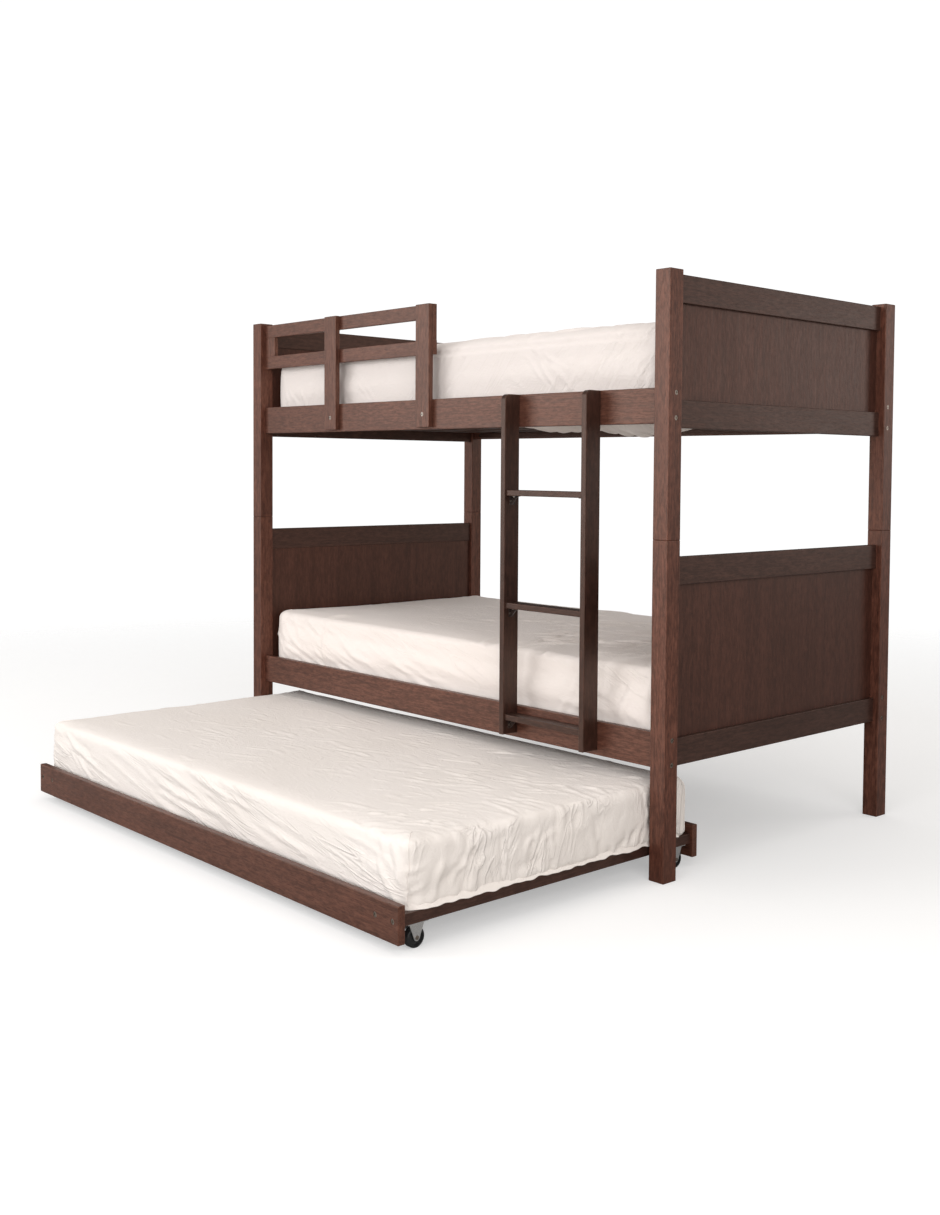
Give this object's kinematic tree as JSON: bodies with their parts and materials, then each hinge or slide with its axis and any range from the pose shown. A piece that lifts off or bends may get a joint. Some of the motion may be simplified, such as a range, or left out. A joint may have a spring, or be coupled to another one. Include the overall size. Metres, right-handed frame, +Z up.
{
  "type": "bunk bed with trundle",
  "caption": "Stacking wooden bunk bed with a guard rail and bolted ladder, and a low trundle bed on casters that rolls out from under the lower bed.",
  "frame": {"origin": "centre of the floor rectangle that the whole bed covers with the trundle rolled out", "axes": "+X along the bed towards the ladder end, +Y from the trundle side to the wall side, +Z up"},
  "size_m": [2.032, 1.917, 1.623],
  "materials": {
    "stained_wood": "dark brown stain under a satin lacquer, open grain",
    "panel_veneer": "dark brown stained veneer, satin",
    "slat_wood": "dark brown stain, dull",
    "mattress_sheet": "cream cotton fitted sheet",
    "bright_steel": "zinc-plated fasteners",
    "zinc_plate": "bright zinc-plated pressed sheet",
    "brown_bracket": "brown enamel",
    "caster_wheel": "black moulded nylon"
  },
  "bodies": {
    "bunk_frame": {"lower_post_front_left": "stained_wood", "lower_post_front_right": "stained_wood", "lower_post_rear_left": "stained_wood", "lower_post_rear_right": "stained_wood", "upper_post_front_left": "stained_wood", "upper_post_front_right": "stained_wood", "upper_post_rear_left": "stained_wood", "upper_post_rear_right": "stained_wood", "stacking_pins": "bright_steel", "lower_left_top_rail": "stained_wood", "lower_left_bottom_rail": "stained_wood", "lower_right_top_rail": "stained_wood", "lower_right_bottom_rail": "stained_wood", "upper_left_top_rail": "stained_wood", "upper_left_bottom_rail": "stained_wood", "upper_right_top_rail": "stained_wood", "upper_right_bottom_rail": "stained_wood", "lower_left_panel": "panel_veneer", "lower_right_panel": "panel_veneer", "upper_left_panel": "panel_veneer", "upper_right_panel": "panel_veneer", "lower_front_side_rail": "stained_wood", "lower_rear_side_rail": "stained_wood", "upper_front_side_rail": "stained_wood", "upper_rear_side_rail": "stained_wood", "bed_cleats": "slat_wood", "lower_slats": "slat_wood", "upper_slats": "slat_wood", "bed_bolts": "bright_steel", "barrel_nuts": "bright_steel", "guard_top_board": "stained_wood", "guard_lower_board": "stained_wood", "guard_stiles": "stained_wood", "guard_middle_upright": "stained_wood", "guard_end_upright": "stained_wood", "guard_bolts": "bright_steel", "ladder_left_stile": "stained_wood", "ladder_right_stile": "stained_wood", "ladder_treads": "stained_wood", "ladder_brackets": "brown_bracket", "ladder_screws": "bright_steel", "ladder_bolts": "bright_steel", "lower_mattress": "mattress_sheet", "upper_mattress": "mattress_sheet"},
    "trundle": {"trundle_front_board": "stained_wood", "trundle_rear_board": "stained_wood", "trundle_left_member": "stained_wood", "trundle_right_member": "stained_wood", "trundle_cleats": "slat_wood", "trundle_slats": "slat_wood", "trundle_bolts": "bright_steel", "trundle_barrel_nuts": "bright_steel", "trundle_mattress": "mattress_sheet", "caster_forks": "zinc_plate", "caster_axles": "bright_steel", "caster_screws": "bright_steel"},
    "front_left_wheel_body": {"front_left_wheel": "caster_wheel"},
    "front_right_wheel_body": {"front_right_wheel": "caster_wheel"},
    "rear_left_wheel_body": {"rear_left_wheel": "caster_wheel"},
    "rear_right_wheel_body": {"rear_right_wheel": "caster_wheel"}
  },
  "joints": [
    {"name": "trundle_slide", "type": "slide", "parent": "bunk_frame", "child": "trundle", "axis": [0, 1, 0], "range_m": [0, 0.857]},
    {"name": "front_left_wheel_spin", "type": "hinge", "parent": "trundle", "child": "front_left_wheel_body", "pos_m": [-0.932, -0.8915, 0.025], "axis": [1, 0, 0], "continuous": true},
    {"name": "front_right_wheel_spin", "type": "hinge", "parent": "trundle", "child": "front_right_wheel_body", "pos_m": [0.932, -0.8915, 0.025], "axis": [1, 0, 0], "continuous": true},
    {"name": "rear_left_wheel_spin", "type": "hinge", "parent": "trundle", "child": "rear_left_wheel_body", "pos_m": [-0.932, 0.0165, 0.025], "axis": [1, 0, 0], "continuous": true},
    {"name": "rear_right_wheel_spin", "type": "hinge", "parent": "trundle", "child": "rear_right_wheel_body", "pos_m": [0.932, 0.0165, 0.025], "axis": [1, 0, 0], "continuous": true}
  ],
  "couplings": [
    {"joint": "front_left_wheel_spin", "follows": "trundle_slide", "rad_per_m": -40},
    {"joint": "front_right_wheel_spin", "follows": "trundle_slide", "rad_per_m": -40},
    {"joint": "rear_left_wheel_spin", "follows": "trundle_slide", "rad_per_m": -40},
    {"joint": "rear_right_wheel_spin", "follows": "trundle_slide", "rad_per_m": -40}
  ]
}
